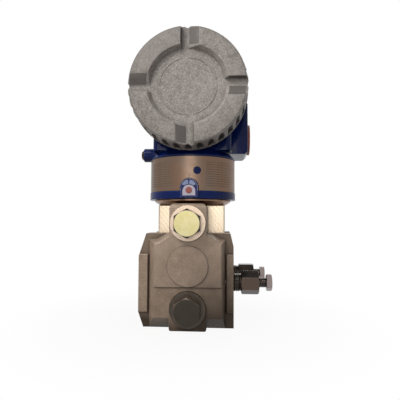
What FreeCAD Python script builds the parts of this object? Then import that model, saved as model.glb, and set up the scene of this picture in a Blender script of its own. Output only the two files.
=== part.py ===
import FreeCAD, Part
import Sketcher
import os
import re

# Differential pressure transmitter: a sensor block clamped between two process covers by two
# through bolts, a neck that screws into a two-compartment housing, and two threaded covers.
# +Z is up, the covers face -Y (front) and +Y (rear), the vents face +X and the ports -X.
# The origin is under the sensor block, on the plane the process covers stand on.

Vector = FreeCAD.Vector
Rotation = FreeCAD.Rotation
doc = FreeCAD.newDocument("PressureTransmitter")
sheet = doc.addObject("Spreadsheet::Sheet", "Sizes")
pieces = []

# driving dimensions in millimetres, and counts
sizes = {
    # fits
    "running_fit": 0.05,
    "seat_gap": 0.3,
    "cut_margin": 1,
    # sensor block
    "block_width": 55.4,
    "block_depth": 26,
    "block_crown": 15.4,
    "block_edge": 1,
    "cell_radius": 13,
    "diaphragm_border": 5,
    "diaphragm_thickness": 1,
    "diaphragm_wave": 0.4,
    "lead_wall": 1.75,
    "lead_bore_radius": 3,
    "lead_recess": 6,
    # process covers
    "cover_depth": 32,
    "wing_depth": 20,
    "wing_left": 39.3,
    "wing_right": 34.4,
    "wing_rise": 24.1,
    "wing_toe_inset": 3.9,
    "wing_toe_height": 10.8,
    "wing_left_rise": 7.1,
    "wing_left_inset": 5.6,
    "wing_right_rise": 14.1,
    "wing_right_inset": 2.4,
    "boss_slope": 2.4,
    "boss_edge": 1,
    "rail_groove": 0.6,
    "rail_width_right": 6.3,
    "boss_foot": 9.7,
    "boss_rise": 17.2,
    "boss_draft": 2.3,
    "shoulder_step": 3.3,
    "shoulder_rise": 0.7,
    "crown_rise": 24.8,
    "ear_border": 0.55,
    "ear_round": 4,
    "face_step": 1,
    "step_clearance": 0.3,
    "pad_radius": 15.1,
    "pad_rise": 0.7,
    "spot_clearance": 0.35,
    "spot_depth": 0.6,
    "rail_inset": 0.5,
    "rail_width": 7.5,
    "rail_foot": 1.95,
    "rail_crown": 1.45,
    "rail_rise": 1.8,
    "rail_edge": 0.6,
    "rail_round": 1.5,
    "port_drop": 13.9,
    "port_depth": 14,
    "port_radius": 5.6,
    "port_length": 15,
    "passage_radius": 3,
    "flange_hole_spacing": 41.3,
    "flange_hole_radius": 4.95,
    "flange_hole_length": 16,
    "chamber_border": 1,
    "chamber_depth": 2.5,
    "gasket_clearance": 1.5,
    "gasket_width": 3.5,
    "gasket_thickness": 2,
    # clamping bolts
    "bolt_height": 15.9,
    "bolt_spacing": 64,
    "bolt_radius": 6.35,
    "bolt_clearance": 0.4,
    "bolt_flats": 19.05,
    "bolt_head": 8,
    "bolt_bearing": 0.6,
    "bolt_end": 3,
    "bolt_point": 1,
    "nut_height": 11,
    "washer_radius": 13.45,
    "washer_thickness": 2.4,
    # vents
    "vent_thread_radius": 6.6,
    "vent_thread_length": 12,
    "vent_standoff": 5.9,
    "vent_flats": 15.9,
    "vent_hex_length": 13.6,
    "vent_bevel": 1.2,
    "vent_stem_radius": 3.45,
    "vent_stem_inside": 12,
    "vent_stem_outside": 5.8,
    "vent_head_flats": 11.1,
    "vent_head_length": 4.2,
    "vent_head_bevel": 0.7,
    # neck
    "neck_ring_flare": 3.8,
    "neck_ring_step": 2.6,
    "neck_ring_height": 3.6,
    "neck_ring_edge": 1.2,
    "neck_radius": 26,
    "neck_bore": 18,
    "neck_height": 26.7,
    "neck_groove_drop": 16,
    "neck_seal_thickness": 2.4,
    "neck_seal_depth": 1.6,
    # housing
    "band_rise": 1,
    "band_height": 5.8,
    "collar_wall": 9.6,
    "lip_height": 1.2,
    "lip_rise": 0.7,
    "taper_overlap": 2,
    "collar_taper": 5.6,
    "barrel_rise": 83.1,
    "barrel_wall": 6,
    "barrel_half_length": 34.7,
    "flange_length": 5,
    "flange_rise": 2.2,
    "chamber_bore": 36,
    "chamber_wall": 4,
    "pedestal_reach": 43.3,
    "pedestal_left": 31,
    "pedestal_right": 33,
    "pedestal_front": 25,
    "pedestal_back": 33,
    "pedestal_round": 4,
    "pedestal_sink": 10.3,
    "conduit_front": 5,
    "conduit_face": 47.5,
    "conduit_rise": 14.7,
    "conduit_slope": 14,
    "conduit_edge": 2.5,
    "conduit_round": 2,
    "conduit_offset": 14,
    "conduit_drop": 27.5,
    "conduit_radius": 10.2,
    "wire_bore": 9,
    "feed_radius": 7,
    "feed_drop": 14.3,
    "lug_drop": 0.4,
    "lug_radius": 5.8,
    "lug_setback": 2,
    "lug_face": 42,
    "lug_root": 24,
    "lug_bore": 2.5,
    "lug_bore_length": 12,
    # zero adjuster on the neck
    "arch_half_width": 6.9,
    "arch_rise": 8.4,
    "arch_proud": 1.5,
    "arch_lift": 0.6,
    "arch_border": 1.9,
    "field_rise": 5.4,
    "field_lift": 1.4,
    "arch_field_depth": 2,
    "button_lift": 6.2,
    "button_radius": 2.4,
    "button_travel": 1.5,
    "button_rise": 0.5,
    "bezel_rise": 0.2,
    "button_stem_radius": 1.5,
    "button_stem_length": 3,
    # data plate
    "plate_thickness": 0.5,
    "plate_drop": 6.6,
    "plate_hole_radius": 3,
    "plate_hole_lift": 2.25,
    "plate_hole_offset": 6.2,
    "plate_arch_gap": 0.6,
    # threaded housing covers
    "cap_height": 21,
    "cap_overhang": 0.9,
    "cap_draft": 0.4,
    "cap_bevel": 2.2,
    "cap_lip": 0.5,
    "cap_rim_width": 2,
    "cap_recess_radius": 28,
    "cap_ring_slope": 2.4,
    "cap_recess_depth": 4.4,
    "cap_line_radius": 21,
    "cap_line_width": 1,
    "cap_line_rise": 0.25,
    "cap_wall": 4,
    "cap_spigot": 11,
    "spigot_wall": 5,
    "flute_count": 32,
    "flute_radius": 2.9,
    "flute_depth": 2.2,
    "flute_length": 17.4,
    "notch_count": 4,
    "notch_wall": 5.2,
    "notch_wall_foot": 4.6,
    "notch_ramp": 9.2,
    "seal_thickness": 2,
    "seal_depth": 1.4,
    "seal_offset": 3,
    # electronics and terminals
    "module_clearance": 1.5,
    "module_flange": 3,
    "module_gap": 0.8,
    "module_length": 14,
    "module_bevel": 2,
    "fixing_inset": 3.1,
    "fixing_radius": 1.5,
    "fixing_head_radius": 2.6,
    "fixing_head": 2,
    "fixing_length": 5,
    "fixing_count": 3,
    "terminal_flange": 3,
    "terminal_border": 4,
    "terminal_block_height": 18,
    "terminal_length": 12,
    "terminal_drop": 4,
    "terminal_pitch": 10,
    "terminal_count": 4,
    "terminal_slot_width": 7.6,
    "terminal_slot_depth": 6,
    "terminal_hole_radius": 1.9,
    "terminal_screw_radius": 1.8,
    "terminal_head_radius": 3.2,
    "terminal_head": 2.2,
    "terminal_screw_length": 4,
    "feed_length": 12,
    # conduit cap and earth screw
    "plug_lip": 3.4,
    "plug_flange": 2.2,
    "plug_wall": 1.5,
    "plug_length": 14,
    "earth_washer_radius": 4.6,
    "earth_washer_thickness": 1,
    "earth_washer_teeth": 12,
    "earth_tooth_radius": 0.7,
    "earth_head_radius": 3.6,
    "earth_head_length": 1.4,
    "earth_screw_length": 9,
}

# sizes and places that follow from them
follows = {
    # sensor block
    "cell_height": "bolt_height + bolt_spacing / 2",
    "block_top": "bolt_height + bolt_spacing + block_crown",
    "diaphragm_radius": "cell_radius + diaphragm_border",
    "lead_offset": "bolt_hole_radius + lead_bore_radius + lead_wall",
    "lead_end": "neck_top - lead_recess",
    # process covers
    "wing_top": "cell_height + wing_rise",
    "wing_left_shoulder": "cell_height + wing_left_rise",
    "wing_right_shoulder": "cell_height + wing_right_rise",
    "boss_base_left": "wing_left - rail_width - rail_groove",
    "boss_base_right": "wing_right - rail_width_right",
    "boss_half_width": "boss_base_right - boss_slope",
    "boss_top": "cell_height + boss_rise",
    "boss_crown": "cell_height + crown_rise",
    "shoulder_half_width": "boss_half_width - shoulder_step",
    "ear_half_width": "washer_radius + ear_border",
    "ear_top": "block_top - seat_gap",
    "face_step_height": "cell_height - pad_radius - step_clearance",
    "spot_radius": "washer_radius + spot_clearance",
    "port_height": "cell_height - port_drop",
    "rail_base": "port_height - flange_hole_spacing / 2 - rail_foot",
    "rail_top": "port_height + flange_hole_spacing / 2 + rail_crown",
    "chamber_radius": "diaphragm_radius - chamber_border",
    "gasket_inner": "diaphragm_radius + gasket_clearance",
    "gasket_outer": "gasket_inner + gasket_width",
    "bolt_hole_radius": "bolt_radius + bolt_clearance",
    "vent_bore_radius": "vent_stem_radius + running_fit",
    # neck and collar
    "neck_ring_foot": "neck_radius + neck_ring_step",
    "neck_ring_radius": "neck_ring_foot + neck_ring_flare",
    "neck_ring_top": "block_top + neck_ring_height",
    "neck_top": "block_top + neck_height",
    "neck_groove_height": "neck_top - neck_groove_drop",
    "band_base": "neck_ring_top + seat_gap",
    "band_top": "band_base + band_height",
    "collar_radius": "neck_radius + collar_wall",
    "band_radius": "collar_radius + band_rise",
    "lip_radius": "collar_radius + lip_rise",
    "lip_top": "plate_top + seat_gap + lip_height",
    "collar_taper_top": "pedestal_base + taper_overlap",
    "collar_taper_radius": "collar_radius - collar_taper",
    # barrel, pedestal and conduit boss
    "barrel_height": "band_base + barrel_rise",
    "barrel_radius": "chamber_bore + barrel_wall",
    "flange_radius": "barrel_radius + flange_rise",
    "pedestal_base": "barrel_height - pedestal_reach",
    "pedestal_top": "barrel_height - pedestal_sink",
    "conduit_top": "barrel_height + conduit_rise",
    "conduit_height": "barrel_height - conduit_drop",
    "feed_height": "barrel_height - feed_drop",
    "lug_height": "pedestal_base - lug_drop",
    # zero adjuster and data plate
    "arch_centre": "band_base + arch_rise",
    "arch_foot": "band_base + arch_lift",
    "arch_face": "band_radius + arch_proud",
    "arch_field_half": "arch_half_width - arch_border",
    "arch_field_centre": "band_base + field_rise",
    "arch_field_foot": "arch_foot + field_lift",
    "button_height": "band_base + button_lift",
    "plate_base": "band_top + seat_gap",
    "plate_top": "pedestal_base - plate_drop",
    "plate_hole_height": "(plate_base + plate_top) / 2 + plate_hole_lift",
    # threaded covers
    "cap_rim": "barrel_half_length + seat_gap",
    "cap_front": "cap_rim + cap_height",
    "cap_radius": "flange_radius + cap_overhang",
    "cap_front_radius": "cap_radius - cap_draft",
    "cap_rim_radius": "cap_radius + cap_lip",
    "cap_ring_inner": "cap_recess_radius + cap_ring_slope",
    "cap_spigot_bore": "chamber_bore - spigot_wall",
    "flute_front": "cap_rim + flute_length",
    # inside the housing
    "module_flange_radius": "chamber_bore - module_clearance",
    "fixing_circle": "module_flange_radius - fixing_inset",
    "module_radius": "fixing_circle - fixing_head_radius - module_gap",
    "terminal_width": "terminal_count * terminal_pitch + terminal_border",
    # conduit cap and earth screw
    "plug_body": "conduit_radius - 2 * running_fit",
    "plug_radius": "conduit_radius + plug_lip",
    "earth_screw_radius": "lug_bore - running_fit",
}
for row, (name, number) in enumerate(sizes.items(), 1):
    sheet.set("A%d" % row, name)
    sheet.set("B%d" % row, str(number))
    sheet.setAlias("B%d" % row, name)
doc.recompute()


def bind(text):
    """Point each name in an expression at the spreadsheet, by way of what it follows."""
    def swap(found):
        word = found.group(0)
        if word in follows:
            return "(%s)" % bind(follows[word])
        return "Sizes." + word if word in sizes else word
    return re.sub(r"[a-z_]+", swap, str(text))


def value(text):
    """The number that an expression gives."""
    result = sheet.evalExpression(bind(text).replace("Sizes.", ""))
    return float(getattr(result, "Value", result))


def drive(item, prop, text):
    item.setExpression(prop, bind(text))


# ways a piece can face: its own z axis points up, forwards, backwards, right or left
UP = Rotation()
FRONT = Rotation(Vector(1, 0, 0), 90)
REAR = Rotation(Vector(0, 0, 1), 180) * FRONT
RIGHT = Rotation(Vector(1, 1, 1), 120)
LEFT = Rotation(Vector(0, 0, 1), 180) * RIGHT


def place(item, facing=UP, at=("0", "0", "0")):
    item.Placement = FreeCAD.Placement(Vector(*[value(text) for text in at]), facing)
    for axis, text in zip("xyz", at):
        drive(item, "Placement.Base." + axis, text)
    return item


def new_body(label, facing=UP, at=("0", "0", "0")):
    body = doc.addObject("PartDesign::Body", label)
    body.Label = label
    return place(body, facing, at)


def keep(item, label=None):
    """Count this object as a finished piece of the transmitter."""
    if label:
        item.Label = label
    pieces.append(item)
    return item


def sketch_on(body, role="XY_Plane", lift="0"):
    sketch = body.newObject("Sketcher::SketchObject", body.Name + "_sketch")
    plane = [part for part in body.Origin.OriginFeatures if part.Role == role][0]
    sketch.AttachmentSupport = (plane, [""])
    sketch.MapMode = "FlatFace"
    drive(sketch, "AttachmentOffset.Base.z", lift)
    return sketch


def fix(sketch, kind, *where):
    """A dimension whose last entry is the expression that drives it."""
    index = sketch.addConstraint(Sketcher.Constraint(kind, *where[:-1], value(where[-1])))
    drive(sketch, "Constraints[%d]" % index, where[-1])


def outline(sketch, corners):
    """A closed polygon with each corner dimensioned from the sketch origin."""
    first = sketch.GeometryCount
    spots = [Vector(value(across), value(along), 0) for across, along in corners]
    total = len(spots)
    for number in range(total):
        sketch.addGeometry(Part.LineSegment(spots[number], spots[(number + 1) % total]))
    for number in range(total):
        following = first + (number + 1) % total
        sketch.addConstraint(Sketcher.Constraint("Coincident", first + number, 2, following, 1))
    for number, (across, along) in enumerate(corners):
        fix(sketch, "DistanceX", -1, 1, first + number, 1, across)
        fix(sketch, "DistanceY", -1, 1, first + number, 1, along)
    return sketch


def circle(sketch, across, along, radius):
    number = sketch.GeometryCount
    middle = Vector(value(across), value(along), 0)
    sketch.addGeometry(Part.Circle(middle, Vector(0, 0, 1), value(radius)))
    fix(sketch, "DistanceX", -1, 1, number, 3, across)
    fix(sketch, "DistanceY", -1, 1, number, 3, along)
    fix(sketch, "Radius", number, radius)
    return sketch


def arch(sketch, half, foot, centre):
    """A door shape: straight sides from the foot, closed by a half circle."""
    number = sketch.GeometryCount
    wide, low, mid = value(half), value(foot), value(centre)
    sketch.addGeometry(Part.LineSegment(Vector(-wide, low, 0), Vector(wide, low, 0)))
    sketch.addGeometry(Part.LineSegment(Vector(wide, low, 0), Vector(wide, mid, 0)))
    round_top = Part.Arc(Vector(wide, mid, 0), Vector(0, mid + wide, 0), Vector(-wide, mid, 0))
    sketch.addGeometry(round_top)
    sketch.addGeometry(Part.LineSegment(Vector(-wide, mid, 0), Vector(-wide, low, 0)))
    joins = ((0, 2, 1, 1), (1, 2, 2, 1), (2, 2, 3, 1), (3, 2, 0, 1))
    for one, end, other, start in joins:
        join = Sketcher.Constraint("Coincident", number + one, end, number + other, start)
        sketch.addConstraint(join)
    for line, across in ((0, "-(%s)" % half), (1, half)):
        fix(sketch, "DistanceX", -1, 1, number + line, 1, across)
        fix(sketch, "DistanceY", -1, 1, number + line, 1, foot)
    fix(sketch, "DistanceX", -1, 1, number + 3, 1, "-(%s)" % half)
    fix(sketch, "DistanceY", -1, 1, number + 3, 1, centre)
    fix(sketch, "DistanceX", -1, 1, number + 2, 3, "0")
    fix(sketch, "DistanceY", -1, 1, number + 2, 3, centre)
    return sketch


def feature(body, kind, sketch, **settings):
    item = body.newObject("PartDesign::" + kind, body.Name + "_" + kind.lower())
    item.Profile = sketch
    for name, setting in settings.items():
        if name in ("Length", "Length2", "Angle", "TaperAngle"):
            drive(item, name, setting)
        else:
            setattr(item, name, setting)
    sketch.Visibility = False
    body.Tip = item
    doc.recompute()
    return item


def pad(body, sketch, length, **settings):
    return feature(body, "Pad", sketch, Length=length, **settings)


def pocket(body, sketch, length, **settings):
    """A cut that must take something away."""
    before = body.Shape.Volume
    item = feature(body, "Pocket", sketch, Length=length, **settings)
    if before - item.Shape.Volume < 1e-4:
        raise RuntimeError("a cut in %s takes nothing away" % body.Label)
    return item


def spin(body, sketch, groove=False):
    """Turn a profile drawn in the body's XZ plane about its z axis."""
    kind = "Groove" if groove else "Revolution"
    item = body.newObject("PartDesign::" + kind, body.Name + "_" + kind.lower())
    item.Profile = sketch
    item.ReferenceAxis = (sketch, ["V_Axis"])
    item.Angle = 360
    sketch.Visibility = False
    body.Tip = item
    doc.recompute()
    return item


def ring_of(body, item, count):
    """Repeat a feature round the body's z axis."""
    pattern = body.newObject("PartDesign::PolarPattern", body.Name + "_pattern")
    axis = [part for part in body.Origin.OriginFeatures if part.Role == "Z_Axis"][0]
    pattern.Originals = [item]
    pattern.Axis = (axis, [""])
    pattern.Angle = 360
    drive(pattern, "Occurrences", count)
    body.Tip = pattern
    doc.recompute()
    return pattern


def edges_where(shape, test, upright=False):
    """Names of the edges whose ends all pass a test, or only those along the body's z."""
    found = []
    for number, edge in enumerate(shape.Edges):
        ends = [corner.Point for corner in edge.Vertexes]
        rises = len(ends) == 2 and near(ends[0].x, ends[1].x) and near(ends[0].y, ends[1].y)
        if ends and all(test(end) for end in ends) and (rises or not upright):
            found.append("Edge%d" % (number + 1))
    return found


def soften(body, base, test, radius, kind="Fillet", upright=False):
    names = edges_where(base.Shape, test, upright)
    item = body.newObject("PartDesign::" + kind, body.Name + "_" + kind.lower())
    item.Base = (base, names)
    drive(item, "Radius" if kind == "Fillet" else "Size", radius)
    body.Tip = item
    doc.recompute()
    return item


def turned(label, corners, facing=UP, at=("0", "0", "0")):
    """A turned piece: a profile of radius and height spun about its own z axis."""
    body = new_body(label, facing, at)
    spin(body, outline(sketch_on(body, "XZ_Plane"), corners))
    return body


def group(label, members):
    """Identical pieces that share a name, as separate solids."""
    item = doc.addObject("Part::Compound", label)
    item.Links = members
    doc.recompute()
    return keep(item, label)


def near(one, other):
    return abs(one - other) < 0.01


def hex_corners(flats):
    """The six corners of a hexagon from its width across flats, one corner upwards."""
    half, reach = "(%s) / 2" % flats, "(%s) / sqrt(3)" % flats
    return ((half, "(%s) / 2" % reach), ("0", reach), ("-" + half, "(%s) / 2" % reach),
            ("-" + half, "-(%s) / 2" % reach), ("0", "-" + reach), (half, "-(%s) / 2" % reach))


def hex_flat(flats):
    """The same hexagon with a flat upwards."""
    return [(along, across) for across, along in hex_corners(flats)]


def trim_hex(body, flats, start, end, bevel, both=False):
    """Turn off the corners of a hexagon where its end faces lie."""
    reach = "(%s) / sqrt(3)" % flats
    inner, outer = "%s - %s" % (reach, bevel), "%s + cut_margin" % reach
    slope = "(%s + cut_margin) * 0.577" % bevel
    corners = [(inner, end), (outer, end), (outer, "%s - %s" % (end, slope))]
    spin(body, outline(sketch_on(body, "XZ_Plane"), corners), groove=True)
    if both:
        corners = [(inner, start), (outer, start), (outer, "%s + %s" % (start, slope))]
        spin(body, outline(sketch_on(body, "XZ_Plane"), corners), groove=True)


# --- sensor block -----------------------------------------------------------------------------
def sensor_block():
    body = new_body("sensor_body")
    half, deep = "block_width / 2", "block_depth / 2"
    corners = (("-" + half, "-" + deep), (half, "-" + deep), (half, deep), ("-" + half, deep))
    base = pad(body, outline(sketch_on(body), corners), "block_top")
    soften(body, base, lambda end: near(abs(end.x), value(half)) and near(abs(end.y), value(deep)),
           "block_edge", "Chamfer")
    across = sketch_on(body, "XZ_Plane")
    circle(across, "0", "cell_height", "cell_radius")
    circle(across, "0", "bolt_height", "bolt_hole_radius")
    circle(across, "0", "bolt_height + bolt_spacing", "bolt_hole_radius")
    pocket(body, across, "block_depth + 2 * cut_margin", Midplane=True)
    for lift, back in (("block_depth / 2", False), ("-block_depth / 2", True)):
        seat = sketch_on(body, "XZ_Plane", lift)
        circle(seat, "0", "cell_height", "diaphragm_radius + running_fit")
        pocket(body, seat, "diaphragm_thickness", Reversed=back)
    down = sketch_on(body, "XY_Plane", "block_top")
    circle(down, "lead_offset", "0", "lead_bore_radius")
    pocket(body, down, "block_top - cell_height")
    return keep(body)


def diaphragm(label, facing, at):
    wave, thick, edge = "diaphragm_wave", "diaphragm_thickness", "diaphragm_radius"
    corners = [("0", "0"), (edge, "0"), (edge, thick), (edge + " * 0.85", thick),
               (edge + " * 0.75", thick + " - " + wave), (edge + " * 0.65", thick),
               (edge + " * 0.55", thick + " - " + wave), (edge + " * 0.45", thick),
               (edge + " * 0.35", thick + " - " + wave), ("0", thick + " - " + wave)]
    return keep(turned(label, corners, facing, at))


# --- process covers ---------------------------------------------------------------------------
def process_cover(label, facing, at, side):
    """A cast cover. Its own z axis points out of the transmitter and side is 1 or -1."""
    def turn(text):
        return "%d * (%s)" % (side, text)

    def shape_of(corners):
        return [(turn(across), along) for across, along in corners]

    body = new_body(label, facing, at)
    wings = shape_of((
        ("-(wing_left - wing_toe_inset)", "0"), ("wing_right", "0"),
        ("wing_right", "wing_right_shoulder"), ("wing_right - wing_right_inset", "wing_top"),
        ("-(wing_left - wing_left_inset)", "wing_top"), ("-wing_left", "wing_left_shoulder"),
        ("-wing_left", "wing_toe_height")))
    pad(body, outline(sketch_on(body), wings), "wing_depth")

    # raised boss with drafted flanks, lofted from the wing face to the machined face
    foot = shape_of((
        ("-boss_base_left", "0"), ("boss_base_right", "0"),
        ("boss_base_right", "boss_top + boss_draft"),
        ("shoulder_half_width + boss_draft", "boss_top + shoulder_rise + boss_draft"),
        ("ear_half_width + boss_draft", "boss_crown"),
        ("-(ear_half_width + boss_draft)", "boss_crown"),
        ("-(shoulder_half_width + boss_draft)", "boss_top + shoulder_rise + boss_draft"),
        ("-boss_base_left", "boss_top + boss_draft")))

    def face(inset):
        return shape_of([(sign + "(%s - %s)" % (across, inset), along + inset_way + inset)
                         for sign, across, along, inset_way in (
                             ("-", "boss_half_width", "boss_foot", " + "),
                             ("", "boss_half_width", "boss_foot", " + "),
                             ("", "boss_half_width", "boss_top", " - "),
                             ("", "shoulder_half_width", "boss_top + shoulder_rise", " - "),
                             ("", "ear_half_width", "boss_crown - boss_draft / 2", " - "),
                             ("-", "ear_half_width", "boss_crown - boss_draft / 2", " - "),
                             ("-", "shoulder_half_width", "boss_top + shoulder_rise", " - "),
                             ("-", "boss_half_width", "boss_top", " - "))])

    low = outline(sketch_on(body, "XY_Plane", "wing_depth"), foot)
    flank = outline(sketch_on(body, "XY_Plane", "cover_depth - boss_edge"), face("0"))
    high = outline(sketch_on(body, "XY_Plane", "cover_depth"), face("boss_edge"))
    loft = body.newObject("PartDesign::AdditiveLoft", label + "_loft")
    loft.Profile = low
    loft.Sections = [flank, high]
    loft.Ruled = True
    body.Tip = loft
    doc.recompute()

    # ears for the bolts, above and below
    ear = sketch_on(body)
    outline(ear, (("-ear_half_width", "0"), ("ear_half_width", "0"),
                  ("ear_half_width", "ear_top"), ("-ear_half_width", "ear_top")))
    column = pad(body, ear, "cover_depth")
    soften(body, column, lambda end: near(abs(end.x), value("ear_half_width"))
           and near(end.y, value("ear_top")), "ear_round")
    soften(body, body.Tip, lambda end: near(abs(end.x), value("ear_half_width"))
           and near(end.y, 0) and end.z > value("wing_depth") - 1, "ear_round / 2")

    # flange rails that carry the tapped holes
    rails = sketch_on(body, "XY_Plane", "wing_depth")
    inner_left = "wing_left - rail_width"
    outline(rails, shape_of((
        ("-wing_left", "rail_base"), ("-(%s)" % inner_left, "rail_base"),
        ("-(%s)" % inner_left, "rail_top"), ("-(wing_left - rail_inset)", "rail_top"),
        ("-wing_left", "rail_top - rail_round"))))
    outline(rails, shape_of((
        ("boss_base_right + rail_inset", "rail_base"), ("wing_right", "rail_base"),
        ("wing_right", "rail_top - rail_round"), ("wing_right - rail_inset", "rail_top"),
        ("boss_base_right + rail_inset", "rail_top"))))
    ribs = pad(body, rails, "rail_rise")
    soften(body, ribs, lambda end: near(end.z, value("wing_depth + rail_rise")),
           "rail_edge", "Chamfer")

    # machined step, spot faces and the turned pad
    step = sketch_on(body, "XY_Plane", "cover_depth")
    outline(step, (("-boss_base_left", "-cut_margin"), ("boss_base_left", "-cut_margin"),
                   ("boss_base_left", "face_step_height"), ("-boss_base_left", "face_step_height")))
    pocket(body, step, "face_step")
    upper = sketch_on(body, "XY_Plane", "cover_depth")
    circle(upper, "0", "bolt_height + bolt_spacing", "spot_radius")
    pocket(body, upper, "spot_depth")
    lower = sketch_on(body, "XY_Plane", "cover_depth - face_step")
    circle(lower, "0", "bolt_height", "spot_radius")
    pocket(body, lower, "spot_depth")
    disc = sketch_on(body, "XY_Plane", "cover_depth - pad_rise")
    circle(disc, "0", "cell_height", "pad_radius")
    pad(body, disc, "2 * pad_rise")

    # bolt holes, pressure chamber and gasket groove
    holes = sketch_on(body, "XY_Plane", "cover_depth + cut_margin")
    circle(holes, "0", "bolt_height", "bolt_hole_radius")
    circle(holes, "0", "bolt_height + bolt_spacing", "bolt_hole_radius")
    pocket(body, holes, "cover_depth + 2 * cut_margin")
    chamber = circle(sketch_on(body), "0", "cell_height", "chamber_radius")
    pocket(body, chamber, "chamber_depth", Reversed=True)
    groove = circle(sketch_on(body), "0", "cell_height", "gasket_outer + running_fit")
    circle(groove, "0", "cell_height", "gasket_inner - running_fit")
    pocket(body, groove, "gasket_thickness", Reversed=True)
    inlet = circle(sketch_on(body), "0", "port_height + passage_radius / 2", "passage_radius")
    pocket(body, inlet, "port_depth", Reversed=True)

    # process port and flange holes on the left, vent hole on the right
    left = sketch_on(body, "YZ_Plane", turn("-wing_left"))
    circle(left, "port_height", "port_depth", "port_radius")
    pocket(body, left, "port_length", Reversed=side > 0)
    tapped = sketch_on(body, "YZ_Plane", turn("-wing_left"))
    for sign in "-+":
        circle(tapped, "port_height %s flange_hole_spacing / 2" % sign, "port_depth",
               "flange_hole_radius")
    pocket(body, tapped, "flange_hole_length", Reversed=side > 0)
    right = sketch_on(body, "YZ_Plane", turn("wing_right"))
    circle(right, "port_height", "port_depth", "vent_thread_radius + running_fit")
    pocket(body, right, "vent_thread_length", Reversed=side < 0)
    through = sketch_on(body, "YZ_Plane", turn("-wing_left + port_length - cut_margin"))
    circle(through, "port_height", "port_depth", "passage_radius")
    pocket(body, through, "wing_left + wing_right - port_length - vent_thread_length"
           " + 2 * cut_margin", Reversed=side > 0)
    return keep(body)


# --- fasteners --------------------------------------------------------------------------------
def clamp_bolt(height, drop):
    """Through bolt: head forwards, shank to the rear nut. drop lowers its seat."""
    seat = "block_depth / 2 + cover_depth - spot_depth - %s + washer_thickness" % drop
    body = new_body("bolt", FRONT, ("0", "-(%s)" % seat, height))
    pad(body, outline(sketch_on(body), hex_corners("bolt_flats")), "bolt_head")
    trim_hex(body, "bolt_flats", "0", "bolt_head", "bolt_bearing * 2")
    pad(body, circle(sketch_on(body), "0", "0", "bolt_radius"),
        "2 * (%s) + nut_height + bolt_end" % seat, Reversed=True)
    tip = -value("2 * (%s) + nut_height + bolt_end" % seat)
    soften(body, body.Tip, lambda end: near(end.z, tip), "bolt_point", "Chamfer")
    return body


def washer(height, depth, facing):
    body = new_body("washer", facing, ("0", depth, height))
    face = circle(sketch_on(body), "0", "0", "washer_radius")
    pad(body, circle(face, "0", "0", "bolt_hole_radius"), "washer_thickness")
    return body


def nut(height, depth):
    body = new_body("nut", REAR, ("0", depth, height))
    face = outline(sketch_on(body), hex_corners("bolt_flats"))
    pad(body, circle(face, "0", "0", "bolt_radius + running_fit"), "nut_height")
    trim_hex(body, "bolt_flats", "0", "nut_height", "bolt_bearing * 2", both=True)
    return body


def fasteners():
    bolts, washers, nuts = [], [], []
    for height, drop in (("bolt_height + bolt_spacing", "0"), ("bolt_height", "face_step")):
        seat = "block_depth / 2 + cover_depth - spot_depth - %s" % drop
        bolts.append(clamp_bolt(height, drop))
        washers.append(washer(height, "-(%s)" % seat, FRONT))
        washers.append(washer(height, seat, REAR))
        nuts.append(nut(height, seat + " + washer_thickness"))
    group("cover_bolts", bolts)
    group("cover_washers", washers)
    group("cover_nuts", nuts)


def vent(name, depth, flat_up):
    """A vent plug with its hexagon and the small vent screw in it, along +X."""
    base = new_body(name + "_vent_plug", RIGHT, ("wing_right", depth, "port_height"))
    shape = hex_flat if flat_up else hex_corners
    pad(base, circle(sketch_on(base), "0", "0", "vent_thread_radius"),
        "vent_thread_length - seat_gap", Reversed=True)
    pad(base, circle(sketch_on(base), "0", "0", "vent_thread_radius"), "vent_standoff")
    hexagon = outline(sketch_on(base, "XY_Plane", "vent_standoff"), shape("vent_flats"))
    pad(base, hexagon, "vent_hex_length")
    trim_hex(base, "vent_flats", "vent_standoff", "vent_standoff + vent_hex_length",
             "vent_bevel", both=True)
    bore = sketch_on(base, "XY_Plane", "vent_standoff + vent_hex_length")
    circle(bore, "0", "0", "vent_bore_radius")
    pocket(base, bore, "vent_stem_inside + cut_margin")
    weep = circle(sketch_on(base), "0", "0", "passage_radius / 2")
    pocket(base, weep, "vent_thread_length + vent_standoff + cut_margin", Midplane=False)
    weep_in = circle(sketch_on(base), "0", "0", "passage_radius / 2")
    pocket(base, weep_in, "vent_standoff + vent_hex_length - vent_stem_inside", Reversed=True)
    keep(base)

    face = "wing_right + vent_standoff + vent_hex_length"
    screw = new_body(name + "_vent_screw", RIGHT, (face, depth, "port_height"))
    pad(screw, circle(sketch_on(screw), "0", "0", "vent_stem_radius"), "vent_stem_outside")
    pad(screw, circle(sketch_on(screw), "0", "0", "vent_stem_radius"), "vent_stem_inside",
        Reversed=True)
    top = sketch_on(screw, "XY_Plane", "vent_stem_outside")
    pad(screw, outline(top, shape("vent_head_flats")), "vent_head_length")
    trim_hex(screw, "vent_head_flats", "vent_stem_outside",
             "vent_stem_outside + vent_head_length", "vent_head_bevel", both=True)
    keep(screw)


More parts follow.
